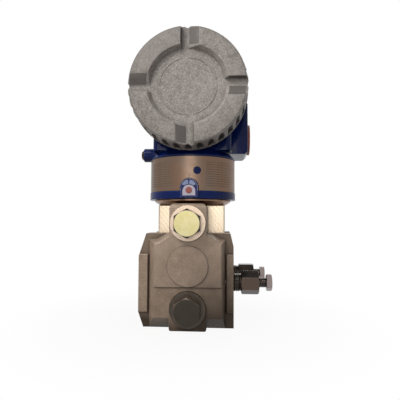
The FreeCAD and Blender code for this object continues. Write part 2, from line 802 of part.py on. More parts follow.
# --- neck -------------------------------------------------------------------------------------
def neck():
    groove = "neck_radius - neck_seal_depth"
    seal = "neck_groove_height - neck_seal_thickness / 2 - running_fit"
    seal_top = "neck_groove_height + neck_seal_thickness / 2 + running_fit"
    corners = [("neck_bore", "block_top"), ("neck_ring_foot", "block_top"),
               ("neck_ring_radius", "neck_ring_top - neck_ring_edge"),
               ("neck_ring_radius", "neck_ring_top"), ("neck_radius", "neck_ring_top"),
               ("neck_radius", seal), (groove, seal), (groove, seal_top),
               ("neck_radius", seal_top), ("neck_radius", "neck_top"), ("neck_bore", "neck_top")]
    keep(turned("sensor_neck", corners))
    low, high = "-neck_seal_thickness / 2", "neck_seal_thickness / 2"
    inner, outer = groove + " + running_fit", "neck_radius - running_fit"
    corners = [(inner, low + " + 0.5"), (inner + " + 0.5", low), (outer + " - 0.5", low),
               (outer, low + " + 0.5"), (outer, high + " - 0.5"), (outer + " - 0.5", high),
               (inner + " + 0.5", high), (inner, high + " - 0.5")]
    keep(turned("neck_seal", corners, UP, ("0", "0", "neck_groove_height")))
    lead = new_body("sensor_lead", UP, ("lead_offset", "0", "cell_height + cell_radius"))
    pad(lead, circle(sketch_on(lead), "0", "0", "lead_bore_radius - seat_gap"),
        "lead_end - cell_height - cell_radius")
    keep(lead)


# --- housing ----------------------------------------------------------------------------------
def housing():
    body = new_body("housing")
    # neck collar with the band, the recess under the data plate and the flare
    corners = [("neck_radius + running_fit", "band_base"), ("band_radius", "band_base"),
               ("band_radius", "band_top"), ("collar_radius", "band_top"),
               ("collar_radius", "plate_top + seat_gap"), ("lip_radius", "plate_top + seat_gap"),
               ("lip_radius", "lip_top"),
               ("collar_taper_radius", "collar_taper_top"),
               ("collar_taper_radius", "barrel_height - chamber_bore"),
               ("0", "barrel_height - chamber_bore"), ("0", "neck_top + seat_gap"),
               ("neck_radius + running_fit", "neck_top + seat_gap")]
    spin(body, outline(sketch_on(body, "XZ_Plane"), corners))
    # arch of the zero adjuster
    front = sketch_on(body, "XZ_Plane", "collar_radius - 2 * cut_margin")
    arch(front, "arch_half_width", "arch_foot", "arch_centre")
    pad(body, front, "arch_face - collar_radius + 2 * cut_margin")
    # pedestal between neck and barrel
    plan = sketch_on(body, "XY_Plane", "pedestal_base")
    outline(plan, (("-pedestal_left", "-pedestal_front"), ("pedestal_right", "-pedestal_front"),
                   ("pedestal_right", "pedestal_back"), ("-pedestal_left", "pedestal_back")))
    block = pad(body, plan, "pedestal_top - pedestal_base")
    soften(body, block, lambda end: abs(end.x) > value("pedestal_left") - 0.1,
           "pedestal_round", upright=True)
    # conduit boss, tall and flat on its outer side
    side = sketch_on(body, "XZ_Plane", "conduit_front")
    outline(side, (("0", "pedestal_base"), ("conduit_face - conduit_edge", "pedestal_base"),
                   ("conduit_face", "pedestal_base + conduit_edge"),
                   ("conduit_face", "conduit_top - conduit_slope"),
                   ("conduit_face - conduit_slope", "conduit_top"), ("0", "conduit_top")))
    boss = pad(body, side, "conduit_front + pedestal_back", Reversed=True)
    soften(body, boss, lambda end: end.x > value("conduit_face - conduit_slope") - 0.1
           and (near(end.y, -value("conduit_front")) or near(end.y, value("pedestal_back"))),
           "conduit_round")
    # barrel with a flange at each end
    barrel = sketch_on(body, "XZ_Plane")
    circle(barrel, "0", "barrel_height", "barrel_radius")
    pad(body, barrel, "2 * barrel_half_length", Midplane=True)
    for lift, back in (("barrel_half_length", True), ("-barrel_half_length", False)):
        flange = sketch_on(body, "XZ_Plane", lift)
        circle(flange, "0", "barrel_height", "flange_radius")
        pad(body, flange, "flange_length", Reversed=back)
    # earth lug at the lower left
    lug = sketch_on(body, "YZ_Plane", "-lug_face")
    circle(lug, "-lug_setback", "lug_height", "lug_radius")
    pad(body, lug, "lug_face - lug_root")
    # compartments, neck bore, conduit entry, wire ways
    for lift, back in (("barrel_half_length", False), ("-barrel_half_length", True)):
        bore = sketch_on(body, "XZ_Plane", lift)
        circle(bore, "0", "barrel_height", "chamber_bore")
        pocket(body, bore, "barrel_half_length - chamber_wall", Reversed=back)
    wires = sketch_on(body, "XY_Plane", "neck_top")
    circle(wires, "0", "-(chamber_wall + wire_bore)", "wire_bore")
    pocket(body, wires, "barrel_height - chamber_bore - neck_top + 2 * cut_margin",
           Reversed=True)
    entry = sketch_on(body, "YZ_Plane", "conduit_face")
    circle(entry, "conduit_offset", "conduit_height", "conduit_radius")
    pocket(body, entry, "conduit_face")
    feed = sketch_on(body, "XZ_Plane")
    circle(feed, "0", "feed_height", "feed_radius")
    pocket(body, feed, "2 * chamber_wall + 2 * cut_margin", Midplane=True)
    tap = sketch_on(body, "YZ_Plane", "-lug_face")
    circle(tap, "-lug_setback", "lug_height", "lug_bore")
    pocket(body, tap, "lug_bore_length", Reversed=True)
    # fixing holes for the electronics and the terminals
    for role_sign in (1, -1):
        fixings = sketch_on(body, "XZ_Plane", "%d * chamber_wall" % role_sign)
        for number in range(int(value("fixing_count"))):
            angle = "(%d * 360 / fixing_count + 90)" % number
            circle(fixings, "fixing_circle * cos(%s)" % angle,
                   "barrel_height + fixing_circle * sin(%s)" % angle, "fixing_radius")
        pocket(body, fixings, "chamber_wall - cut_margin", Reversed=role_sign < 0)
    # recess for the adjuster bezel and the bore of its button
    field = sketch_on(body, "XZ_Plane", "arch_face")
    arch(field, "arch_field_half", "arch_field_foot", "arch_field_centre")
    pocket(body, field, "arch_field_depth")
    stem = sketch_on(body, "XZ_Plane", "arch_face")
    circle(stem, "0", "button_height", "button_stem_radius + running_fit")
    pocket(body, stem, "arch_field_depth + button_stem_length + button_travel + seat_gap")
    return keep(body)


def zero_adjuster():
    rim = "arch_face - arch_field_depth"
    bezel = new_body("button_bezel", FRONT, ("0", "-(%s)" % rim, "0"))
    face = sketch_on(bezel)
    arch(face, "arch_field_half - running_fit", "arch_field_foot + running_fit",
         "arch_field_centre")
    circle(face, "0", "button_height", "button_radius + running_fit")
    pad(bezel, face, "arch_field_depth + bezel_rise")
    keep(bezel)
    button = new_body("zero_button", FRONT, ("0", "-(%s)" % rim, "button_height"))
    pad(button, circle(sketch_on(button, "XY_Plane", "button_travel"), "0", "0",
                       "button_radius"),
        "arch_field_depth + bezel_rise + button_rise - button_travel")
    pad(button, circle(sketch_on(button, "XY_Plane", "button_travel"), "0", "0",
                       "button_stem_radius"), "button_stem_length + button_travel",
        Reversed=True)
    keep(button)


def data_plate():
    body = new_body("data_plate", UP, ("0", "0", "plate_base"))
    wrap = circle(sketch_on(body), "0", "0", "collar_radius + running_fit + plate_thickness")
    circle(wrap, "0", "0", "collar_radius + running_fit")
    pad(body, wrap, "plate_top - plate_base")
    notch = sketch_on(body, "XZ_Plane")
    arch(notch, "arch_half_width + plate_arch_gap", "-cut_margin",
         "arch_centre - plate_base")
    pocket(body, notch, "band_radius + 2 * cut_margin", Reversed=True)
    hole = sketch_on(body, "XZ_Plane")
    circle(hole, "plate_hole_offset", "plate_hole_height - plate_base", "plate_hole_radius")
    pocket(body, hole, "band_radius + 2 * cut_margin", Reversed=True)
    return keep(body)


# --- threaded covers --------------------------------------------------------------------------
def threaded_cover(name, facing, sign):
    """Cup-shaped cover: fluted skirt, raised notched ring and a threaded spigot."""
    at = ("0", "%d * cap_rim" % sign, "barrel_height")
    body = new_body(name + "_cover", facing, at)
    depth = "cap_front - cap_rim"
    floor = depth + " - cap_recess_depth"
    corners = [("0", floor + " - cap_wall"), ("cap_spigot_bore", floor + " - cap_wall"),
               ("cap_spigot_bore", "-cap_spigot"),
               ("chamber_bore - running_fit", "-cap_spigot"),
               ("chamber_bore - running_fit", "-(seal_offset + seal_thickness + running_fit)"),
               ("chamber_bore - seal_depth", "-(seal_offset + seal_thickness + running_fit)"),
               ("chamber_bore - seal_depth", "-(seal_offset - running_fit)"),
               ("chamber_bore - running_fit", "-(seal_offset - running_fit)"),
               ("chamber_bore - running_fit", "0"), ("cap_rim_radius", "0"),
               ("cap_rim_radius", "cap_rim_width"), ("cap_radius", "cap_rim_width * 1.6"),
               ("cap_radius", depth + " - 2 * cap_bevel"),
               ("cap_radius - cap_bevel * 0.3", depth + " - cap_bevel"),
               ("cap_front_radius - cap_bevel * 0.3", depth + " - cap_bevel * 0.3"),
               ("cap_front_radius - cap_bevel", depth), ("cap_ring_inner", depth),
               ("cap_recess_radius", floor), ("cap_line_radius + cap_line_width", floor),
               ("cap_line_radius + cap_line_width", floor + " + cap_line_rise"),
               ("cap_line_radius", floor + " + cap_line_rise"), ("cap_line_radius", floor),
               ("0", floor)]
    spin(body, outline(sketch_on(body, "XZ_Plane"), corners))
    # grip flutes, round-ended towards the front and running out above the rim
    reach = "cap_radius - flute_depth + flute_radius"
    flute = sketch_on(body, "XZ_Plane", "0")
    end = "flute_front - cap_rim"
    corners = [(reach + " - flute_radius", "cap_rim_width"), (reach, "cap_rim_width"),
               (reach, end), (reach + " - flute_radius * 0.4", end + " - flute_radius * 0.1"),
               (reach + " - flute_radius * 0.8", end + " - flute_radius * 0.45"),
               (reach + " - flute_radius", end + " - flute_radius")]
    outline(flute, corners)
    cutter = body.newObject("PartDesign::Groove", name + "_flute")
    cutter.Profile = flute
    side = flute.GeometryCount
    axis_line = Part.LineSegment(Vector(value(reach), 0, 0), Vector(value(reach), value(end), 0))
    flute.addGeometry(axis_line, True)
    for point, along in ((1, "0"), (2, end)):
        fix(flute, "DistanceX", -1, 1, side, point, reach)
        fix(flute, "DistanceY", -1, 1, side, point, along)
    cutter.ReferenceAxis = (flute, ["Axis0"])
    cutter.Angle = 360
    flute.Visibility = False
    body.Tip = cutter
    doc.recompute()
    ring_of(body, cutter, "flute_count")
    # four wrench notches: a steep wall, a floor level with the recess and a long ramp
    notch = sketch_on(body, "XZ_Plane")
    outline(notch, (("-notch_wall", depth + " + cut_margin"), ("-notch_wall", depth),
                    ("-notch_wall_foot", floor), ("0", floor), ("notch_ramp", depth),
                    ("notch_ramp", depth + " + cut_margin")))
    cut = pocket(body, notch, "cap_rim_radius + cut_margin")
    ring_of(body, cut, "notch_count")
    keep(body)
    # seal in the groove of the spigot
    low, high = "-(seal_offset + seal_thickness)", "-seal_offset"
    inner, outer = "chamber_bore - seal_depth + running_fit", "chamber_bore - running_fit"
    corners = [(inner, low + " + 0.4"), (inner + " + 0.4", low), (outer + " - 0.4", low),
               (outer, low + " + 0.4"), (outer, high + " - 0.4"), (outer + " - 0.4", high),
               (inner + " + 0.4", high), (inner, high + " - 0.4")]
    keep(turned(name + "_cover_seal", corners, facing, at))


# --- inside the housing -----------------------------------------------------------------------
def small_screw(facing, at, shank, head_radius, head, radius):
    """A cheese-head screw seated at its own origin."""
    corners = [("0", "-" + shank), (radius, "-" + shank), (radius, "0"), (head_radius, "0"),
               (head_radius, head + " * 0.7"), (head_radius + " * 0.8", head), ("0", head)]
    return turned("screw", corners, facing, at)


def fixing_screws(label, facing, depth):
    screws = []
    for number in range(int(value("fixing_count"))):
        angle = "(%d * 360 / fixing_count + 90)" % number
        at = ("fixing_circle * cos(%s)" % angle, depth,
              "barrel_height + fixing_circle * sin(%s)" % angle)
        screws.append(small_screw(facing, at, "fixing_length", "fixing_head_radius",
                                  "fixing_head", "fixing_radius - running_fit"))
    group(label, screws)


def flanged_disc(body, length):
    """Round mounting flange with its fixing holes."""
    plan = circle(sketch_on(body), "0", "0", "module_flange_radius")
    for number in range(int(value("fixing_count"))):
        angle = "(%d * 360 / fixing_count + 90)" % number
        circle(plan, "fixing_circle * cos(%s)" % angle, "fixing_circle * sin(%s)" % angle,
               "fixing_radius + running_fit")
    circle(plan, "0", "feed_height - barrel_height", "feed_radius")
    pad(body, plan, length)


def electronics():
    body = new_body("electronics_module", FRONT, ("0", "-chamber_wall", "barrel_height"))
    flanged_disc(body, "module_flange")
    top = circle(sketch_on(body, "XY_Plane", "module_flange"), "0", "0", "module_radius")
    drum = pad(body, top, "module_length")
    soften(body, drum, lambda end: near(end.z, value("module_flange + module_length")),
           "module_bevel", "Chamfer")
    keep(body)
    fixing_screws("module_screws", FRONT, "-(chamber_wall + module_flange)")


def terminals():
    body = new_body("terminal_block", REAR, ("0", "chamber_wall", "barrel_height"))
    flanged_disc(body, "terminal_flange")
    half, tall = "terminal_width / 2", "terminal_block_height / 2"
    block = sketch_on(body, "XY_Plane", "terminal_flange")
    outline(block, (("-" + half, "-%s + terminal_drop" % tall),
                    (half, "-%s + terminal_drop" % tall),
                    (half, "%s + terminal_drop" % tall), ("-" + half, "%s + terminal_drop" % tall)))
    pad(body, block, "terminal_length")
    slots = sketch_on(body, "XY_Plane", "terminal_flange + terminal_length")
    holes = sketch_on(body, "XY_Plane", "terminal_flange + terminal_length")
    count = int(value("terminal_count"))
    spots = []
    for number in range(count):
        across = "terminal_pitch * (%d - (terminal_count - 1) / 2)" % number
        spots.append(across)
        left, right = (across + sign + " terminal_slot_width / 2" for sign in (" -", " +"))
        outline(slots, ((left, "-%s + terminal_drop - cut_margin" % tall),
                        (right, "-%s + terminal_drop - cut_margin" % tall),
                        (right, "%s + terminal_drop + cut_margin" % tall),
                        (left, "%s + terminal_drop + cut_margin" % tall)))
        circle(holes, across, "terminal_drop", "terminal_hole_radius")
    pocket(body, slots, "terminal_slot_depth")
    pocket(body, holes, "terminal_slot_depth + terminal_screw_length + cut_margin")
    keep(body)
    depth = "chamber_wall + terminal_flange + terminal_length - terminal_slot_depth"
    group("terminal_screws", [small_screw(
        REAR, ("-(%s)" % across, depth, "barrel_height + terminal_drop"), "terminal_screw_length",
        "terminal_head_radius", "terminal_head", "terminal_screw_radius") for across in spots])
    fixing_screws("terminal_fixings", REAR, "chamber_wall + terminal_flange")
    feed = new_body("feedthrough", FRONT, ("0", "feed_length / 2", "feed_height"))
    pad(feed, circle(sketch_on(feed), "0", "0", "feed_radius - running_fit"), "feed_length")
    keep(feed)


# --- conduit cap and earth screw --------------------------------------------------------------
def outside_trim():
    corners = [("0", "plug_flange"), ("plug_radius", "plug_flange"), ("plug_radius", "seat_gap"),
               ("plug_body", "seat_gap"), ("plug_body", "-plug_length"),
               ("plug_body - plug_wall", "-plug_length"), ("plug_body - plug_wall", "seat_gap"),
               ("0", "seat_gap")]
    keep(turned("conduit_cap", corners, RIGHT, ("conduit_face", "conduit_offset",
                                                "conduit_height")))
    washer_body = new_body("earth_washer", LEFT, ("-lug_face", "-lug_setback", "lug_height"))
    face = circle(sketch_on(washer_body), "0", "0", "earth_washer_radius")
    pad(washer_body, circle(face, "0", "0", "lug_bore + running_fit"), "earth_washer_thickness")
    tooth = sketch_on(washer_body, "XY_Plane", "earth_washer_thickness")
    circle(tooth, "earth_washer_radius", "0", "earth_tooth_radius")
    ring_of(washer_body, pocket(washer_body, tooth, "earth_washer_thickness + cut_margin"),
            "earth_washer_teeth")
    keep(washer_body)
    at = ("-(lug_face + earth_washer_thickness)", "-lug_setback", "lug_height")
    keep(small_screw(LEFT, at, "earth_screw_length", "earth_head_radius", "earth_head_length",
                     "earth_screw_radius"), "earth_screw")


mating = "block_depth / 2"
sensor_block()
cell = new_body("measuring_cell", FRONT, ("0", mating + " - diaphragm_thickness", "cell_height"))
pad(cell, circle(sketch_on(cell), "0", "0", "cell_radius - running_fit"),
    "block_depth - 2 * diaphragm_thickness")
keep(cell)
for name, facing, sign in (("front", FRONT, -1), ("rear", REAR, 1)):
    diaphragm(name + "_diaphragm", facing,
              ("0", "%d * (block_depth / 2 - diaphragm_thickness)" % sign, "cell_height"))
    process_cover(name + "_process_cover", facing, ("0", "%d * block_depth / 2" % sign, "0"),
                  -sign)
    gasket = new_body(name + "_gasket", facing,
                      ("0", "%d * block_depth / 2" % sign, "cell_height"))
    face = circle(sketch_on(gasket), "0", "0", "gasket_outer")
    pad(gasket, circle(face, "0", "0", "gasket_inner"), "gasket_thickness")
    keep(gasket)
    vent(name, "%d * (block_depth / 2 + port_depth)" % sign, sign > 0)
fasteners()
neck()
housing()
zero_adjuster()
data_plate()
threaded_cover("front", FRONT, -1)
threaded_cover("rear", REAR, 1)
electronics()
terminals()
outside_trim()
doc.recompute()

bad = [item.Name for item in doc.Objects if "Invalid" in item.State or "Error" in item.State]
if bad:
    raise RuntimeError("objects failed: " + ", ".join(bad))
for piece in pieces:
    if piece.Shape.isNull() or not piece.Shape.isValid() or not piece.Shape.Solids:
        raise RuntimeError(piece.Label + " has no valid solid")
os.makedirs("parts", exist_ok=True)
for piece in pieces:
    piece.Shape.exportStep(os.path.join("parts", piece.Label + ".step"))
    box = piece.Shape.BoundBox
    print("%-24s %2d solids %10.1f mm3  x %6.1f %6.1f  y %6.1f %6.1f  z %6.1f %6.1f" % (
        piece.Label, len(piece.Shape.Solids), piece.Shape.Volume,
        box.XMin, box.XMax, box.YMin, box.YMax, box.ZMin, box.ZMax))
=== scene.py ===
import math
import bmesh
import bpy
from mathutils import Matrix, Vector


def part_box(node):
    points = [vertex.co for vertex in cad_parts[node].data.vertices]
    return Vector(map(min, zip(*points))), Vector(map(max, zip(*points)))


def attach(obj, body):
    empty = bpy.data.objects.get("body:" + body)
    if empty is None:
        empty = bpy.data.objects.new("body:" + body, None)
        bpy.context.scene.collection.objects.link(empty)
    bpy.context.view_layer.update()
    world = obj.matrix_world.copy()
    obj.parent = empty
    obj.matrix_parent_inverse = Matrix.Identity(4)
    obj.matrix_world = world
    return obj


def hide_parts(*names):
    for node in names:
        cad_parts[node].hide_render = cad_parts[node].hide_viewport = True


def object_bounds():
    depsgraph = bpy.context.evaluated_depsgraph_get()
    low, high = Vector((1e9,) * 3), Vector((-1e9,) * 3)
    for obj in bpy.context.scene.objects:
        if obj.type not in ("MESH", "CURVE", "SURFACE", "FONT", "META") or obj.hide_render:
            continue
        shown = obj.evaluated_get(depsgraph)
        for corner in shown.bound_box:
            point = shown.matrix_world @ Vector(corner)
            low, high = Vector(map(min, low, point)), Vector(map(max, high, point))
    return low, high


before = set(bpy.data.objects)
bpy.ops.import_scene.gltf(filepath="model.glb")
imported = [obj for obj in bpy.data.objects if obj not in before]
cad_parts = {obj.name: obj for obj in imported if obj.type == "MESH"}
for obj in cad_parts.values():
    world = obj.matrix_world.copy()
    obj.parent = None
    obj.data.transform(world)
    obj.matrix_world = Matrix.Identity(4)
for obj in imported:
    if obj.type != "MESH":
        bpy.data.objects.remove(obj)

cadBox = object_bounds()
print("frame loaded")

# where the camera stands, in metres and degrees, with its lens and sensor in millimetres
cameraView = {"place": (0.02654, -0.32424, 0.08227), "turn": 3.58, "tilt": 3.09, "roll": 0.2, "lens": 33.717,
              "sensor": 36, "near": 0.01}


def addCamera(view):
    data = bpy.data.cameras.new("camera")
    data.lens = view["lens"]
    data.sensor_width = view["sensor"]
    data.clip_start = view["near"]
    camera = bpy.data.objects.new("camera", data)
    bpy.context.collection.objects.link(camera)
    turn = Matrix.Rotation(math.radians(view["turn"]), 4, "Z")
    tilt = Matrix.Rotation(math.radians(90 + view["tilt"]), 4, "X")
    roll = Matrix.Rotation(math.radians(view["roll"]), 4, "Z")
    camera.matrix_world = Matrix.Translation(view["place"]) @ turn @ tilt @ roll
    bpy.context.scene.camera = camera


addCamera(cameraView)


class Signal:  # a shader value that ordinary arithmetic works on
    def __init__(self, finish, socket):
        self.finish = finish
        self.socket = socket

    def combine(self, operation, other, swapped=False):
        pair = (other, self) if swapped else (self, other)
        return self.finish.node("Math", {"operation": operation}, dict(enumerate(pair)))

    def __add__(self, other):
        return self.combine("ADD", other)

    def __sub__(self, other):
        return self.combine("SUBTRACT", other)

    def __mul__(self, other):
        return self.combine("MULTIPLY", other)

    def __truediv__(self, other):
        return self.combine("DIVIDE", other)

    def __rsub__(self, other):
        return self.combine("SUBTRACT", other, True)

    def __rtruediv__(self, other):
        return self.combine("DIVIDE", other, True)

    def __pow__(self, other):
        return self.combine("POWER", other)

    def __gt__(self, other):
        return self.combine("GREATER_THAN", other)

    def __lt__(self, other):
        return self.combine("LESS_THAN", other)

    def __abs__(self):
        return self.finish.node("Math", {"operation": "ABSOLUTE"}, {0: self})

    __radd__ = __add__
    __rmul__ = __mul__


# rays that feel for edges and corners, and where edge wear and the painted shade in inner corners begin and are
# full
touch = {"rays": 6, "wearFrom": 0.01, "wearTo": 0.14, "creaseShadeFrom": 0.45, "creaseShadeTo": 0.95}


class Finish:  # one material, built round its Principled shader
    def __init__(self, name, **constants):
        self.material = bpy.data.materials.new(name)
        self.material.use_nodes = True
        self.tree = self.material.node_tree
        self.shader = self.tree.nodes["Principled BSDF"]
        names = {"color": "Base Color", "roughness": "Roughness", "metallic": "Metallic", "coat": "Coat Weight",
                 "coatRoughness": "Coat Roughness", "specular": "Specular IOR Level", "anisotropy": "Anisotropic"}
        for key, item in constants.items():
            self.shader.inputs[names[key]].default_value = (*item, 1) if key == "color" else item
        self.place = self.node("TexCoord", output="Object")

    def node(self, kind, settings=None, inputs=None, output=0):
        node = self.tree.nodes.new("ShaderNode" + kind)
        for key, item in (settings or {}).items():
            if key == "stops":
                ramp = node.color_ramp.elements
                while len(ramp) < len(item):
                    ramp.new(0.5)
                for stop, (position, color) in zip(ramp, item):
                    stop.position = position
                    stop.color = (*color, 1)
            else:
                setattr(node, key, item)
        for key, item in (inputs or {}).items():
            self.feed(node.inputs[key], item)
        return None if output is None else Signal(self, node.outputs[output])

    def feed(self, socket, item):
        if isinstance(item, Signal):
            self.tree.links.new(item.socket, socket)
        elif isinstance(item, tuple) and socket.type == "RGBA" and len(item) == 3:
            socket.default_value = (*item, 1)
        else:
            socket.default_value = item

    def noise(self, scale, detail=2, rough=0.5, place=None):
        inputs = {"Vector": place or self.place, "Scale": scale, "Detail": detail, "Roughness": rough}
        return self.node("TexNoise", None, inputs)

    def cells(self, scale):
        return self.node("TexVoronoi", None, {"Vector": self.place, "Scale": scale}, "Distance")

    def clamp(self, signal, low, high, start=0.0, end=1.0):
        return self.node("MapRange", {"clamp": True}, {"Value": signal, 1: low, 2: high, 3: start, 4: end})

    def mix(self, factor, first, second):
        return self.node("Mix", {"data_type": "RGBA"}, {0: factor, 6: first, 7: second}, 2)

    def axes(self):
        split = self.node("SeparateXYZ", None, {0: self.place})
        outputs = split.socket.node.outputs
        return [Signal(self, outputs[number]) for number in range(3)]

    def stretched(self, x, y, z, turn=(0, 0, 0)):
        return self.node("Mapping", None, {"Vector": self.place, "Scale": (x, y, z), "Rotation": turn})

    def edges(self, radius):  # 0 on flat faces, rising to 1 along sharp edges, with the rounded normal
        rounded = self.node("Bevel", {"samples": touch["rays"]}, {"Radius": radius})
        flat = self.node("NewGeometry", output="Normal")
        dot = self.node("VectorMath", {"operation": "DOT_PRODUCT"}, {0: rounded, 1: flat}, "Value")
        return rounded, self.clamp(1 - dot, touch["wearFrom"], touch["wearTo"])

    def backdropRays(self):  # the rays that see the white backdrop
        path = self.node("LightPath", output="Is Camera Ray").socket.node
        camera, glossy, through = [Signal(self, path.outputs["Is %s Ray" % kind])
                                   for kind in ("Camera", "Glossy", "Transmission")]
        return self.clamp(camera + glossy + through, 0.0, 1.0)

    def creases(self, reach, amount):  # painted shade that darkens a piece's own inner corners and creases
        settings = {"samples": touch["rays"], "only_local": True}
        clear = self.node("AmbientOcclusion", settings, {"Distance": reach}, "AO")
        return self.clamp(clear, touch["creaseShadeFrom"], touch["creaseShadeTo"], amount, 0.0)

    def finish(self, color, rough, height, depth, normal):
        relief = self.node("Bump", None, {"Height": height, "Distance": depth, "Strength": 1.0, "Normal": normal})
        for slot, signal in {"Base Color": color, "Roughness": rough, "Normal": relief}.items():
            self.feed(self.shader.inputs[slot], signal)
        return self.material


def paler(color, gain, lift=0):  # a colour as it shows where it is worn
    return tuple(min(1, item * gain + lift) for item in color)


# textured grey casting of the two screwed covers: colours, grain and, in metres, where its zones lie; its pale
# specks are painted glints, and painted shade darkens the notch ramps, the upper left of the face, the flutes and
# the inner corners
greyCasting = {
    "low": (0.18, 0.168, 0.163), "high": (0.47, 0.45, 0.44), "glint": (0.6, 0.59, 0.58),
    "worn": (0.48, 0.465, 0.45), "ramp": (0.11, 0.104, 0.1), "hollowShade": (0.03, 0.027, 0.025),
    "grain": 700, "lump": 210, "cloud": 28, "speck": 1000, "pit": 1500,
    "edge": 0.0007, "crease": 0.004, "relief": 0.00028, "notch": 0.0042, "margin": 0.0003,
    "shadeFrom": 0.028, "rampFrom": 0.031, "fluteFrom": 0.0427, "rampTo": 0.0436, "fluteTo": 0.0449,
    "skirt": 0.0369, "fluteGap": 0.0002, "shadeZone": (0.02, 0.07),
}


def castGrey(cast):
    look = Finish("castGrey", specular=0.25)
    fine = look.noise(cast["grain"], 3, 0.6)
    lump = look.noise(cast["lump"], 2)
    cloud = look.noise(cast["cloud"], 2)
    rounded, edge = look.edges(cast["edge"])
    tone = look.clamp(fine * 0.6 + lump * 0.3 + cloud * 0.3, 0.42, 0.82)
    color = look.mix(tone, cast["low"], cast["high"])
    # painted glints: pale specks
    color = look.mix(look.clamp(look.noise(cast["speck"], 1), 0.56, 0.7) * 0.45, color, cast["glint"])
    x, y, z = look.axes()
    low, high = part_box("front_cover")
    rise = z - (low[2] + high[2]) / 2
    radius = (x * x + rise * rise) ** 0.5
    reach = abs(y)
    face, floor = -low[1], -low[1] - cast["notch"]
    # painted shade: the ramps of the four notches are painted darker, and the upper left of the face darker still
    ramp = (radius > cast["rampFrom"]) * (radius < cast["rampTo"])
    ramp = ramp * (reach < face - cast["margin"]) * (reach > floor + cast["margin"])
    color = look.mix(ramp * 0.85, color, cast["ramp"])
    shade = look.clamp(rise * 1.3 - x, *cast["shadeZone"], 0.0, 0.45) * (radius > cast["shadeFrom"])
    color = look.mix(shade, color, cast["ramp"])
    inside = (radius > cast["fluteFrom"]) * (reach > cast["skirt"]) * (reach < floor - cast["fluteGap"])
    flute = look.clamp(radius, cast["rampTo"], cast["fluteTo"], 1.0, 0.0) * inside
    color = look.mix(edge * 0.4, color, cast["worn"])
    # painted shade in the flutes and in the cover's own inner corners
    color = look.mix(flute * 0.93, color, cast["hollowShade"])
    color = look.mix(look.creases(cast["crease"], 0.75), color, cast["hollowShade"])
    pits = look.clamp(look.cells(cast["pit"]), 0, 0.35)
    height = fine * 0.9 + lump * 0.4 + pits * 0.3
    return look.finish(color, look.clamp(fine, 0.3, 0.7, 0.34, 0.55), height, cast["relief"], rounded)


# glossy blue baked paint on the housing
bluePaintLook = {"color": (0.001, 0.015, 0.13), "deep": (0.0006, 0.008, 0.075), "worn": (0.01, 0.08, 0.4),
                 "peel": 650, "grain": 900, "cloud": 35, "edge": 0.0012, "relief": 0.0003}


def bluePaint(paint):
    look = Finish("bluePaint", coat=0.18, coatRoughness=0.07, specular=0.05)
    peel = look.noise(paint["peel"], 2, 0.45)
    fine = look.noise(paint["grain"], 1)
    rounded, edge = look.edges(paint["edge"])
    color = look.mix(look.clamp(look.noise(paint["cloud"], 3), 0.35, 0.7), paint["deep"], paint["color"])
    color = look.mix(edge * 0.35, color, paint["worn"])
    rough = look.clamp(fine, 0.3, 0.7, 0.2, 0.34)
    return look.finish(color, rough, peel + fine * 0.15, paint["relief"], rounded)


# blasted stainless casting of the process covers, with painted shade low down, to the right and at the very
# bottom, darker too along the joint, and painted shade in its inner corners
steelCasting = {
    "low": (0.2, 0.15, 0.11), "high": (0.48, 0.38, 0.3), "milled": (0.42, 0.34, 0.28), "worn": (0.52, 0.44, 0.38),
    "paintedShade": (0.032, 0.021, 0.013), "creaseShade": (0.03, 0.02, 0.013), "grain": 1000, "lump": 170, "cloud": 22,
    "edge": 0.0006, "crease": 0.003, "relief": 0.00014, "milledZone": (0.0014, 0.0012), "lowZone": (0.016, 0.07),
    "rightZone": (-0.01, 0.012), "footZone": (0.002, 0.01), "sideZone": (0.025, 0.033), "sideEnd": 0.0335,
}


def castSteel(cast):
    look = Finish("castSteel", metallic=0.12, specular=0.25)
    fine = look.noise(cast["grain"], 3, 0.65)
    lump = look.noise(cast["lump"], 3)
    cloud = look.noise(cast["cloud"], 3, 0.6)
    rounded, edge = look.edges(cast["edge"])
    tone = look.clamp(fine * 0.5 + lump * 0.25 + cloud * 0.45, 0.44, 0.76)
    color = look.mix(tone, cast["low"], cast["high"])
    x, y, z = look.axes()
    reach, front = abs(y), -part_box("front_process_cover")[0][1]
    machined = look.clamp(reach, *[front - inset for inset in cast["milledZone"]])
    color = look.mix(machined * 0.3, color, cast["milled"])
    color = look.mix(edge * 0.6, color, cast["worn"])
    # painted shade: darker low down, to the right and at the very bottom, and darker too along the joint
    shade = look.clamp(z + cloud * 0.015, *cast["lowZone"], 1.0, 0.1)
    shade = shade * look.clamp(x, *cast["rightZone"], 0.22, 1.0)
    joint = look.clamp(reach, *cast["sideZone"]) * (reach < cast["sideEnd"]) * 0.45
    shade = shade + look.clamp(z, *cast["footZone"], 0.6, 0.0) + joint
    color = look.mix(look.clamp(shade, 0.0, 0.96, 0.0, 0.96), color, cast["paintedShade"])
    # painted shade in the casting's own inner corners
    color = look.mix(look.creases(cast["crease"], 0.8), color, cast["creaseShade"])
    rough = look.clamp(fine, 0.3, 0.7, 0.4, 0.58)
    return look.finish(color, rough, fine * 0.8 + lump * 0.4, cast["relief"], rounded)


# milled bar stock of the sensor block, with slanted cutter marks
milledLook = {"color": (0.6, 0.51, 0.39), "shade": (0.46, 0.38, 0.285), "worn": (0.7, 0.64, 0.55),
              "marks": 700 / 6.28, "slant": 38, "streak": 0.35, "cloud": 60, "edge": 0.0005, "relief": 0.00003}


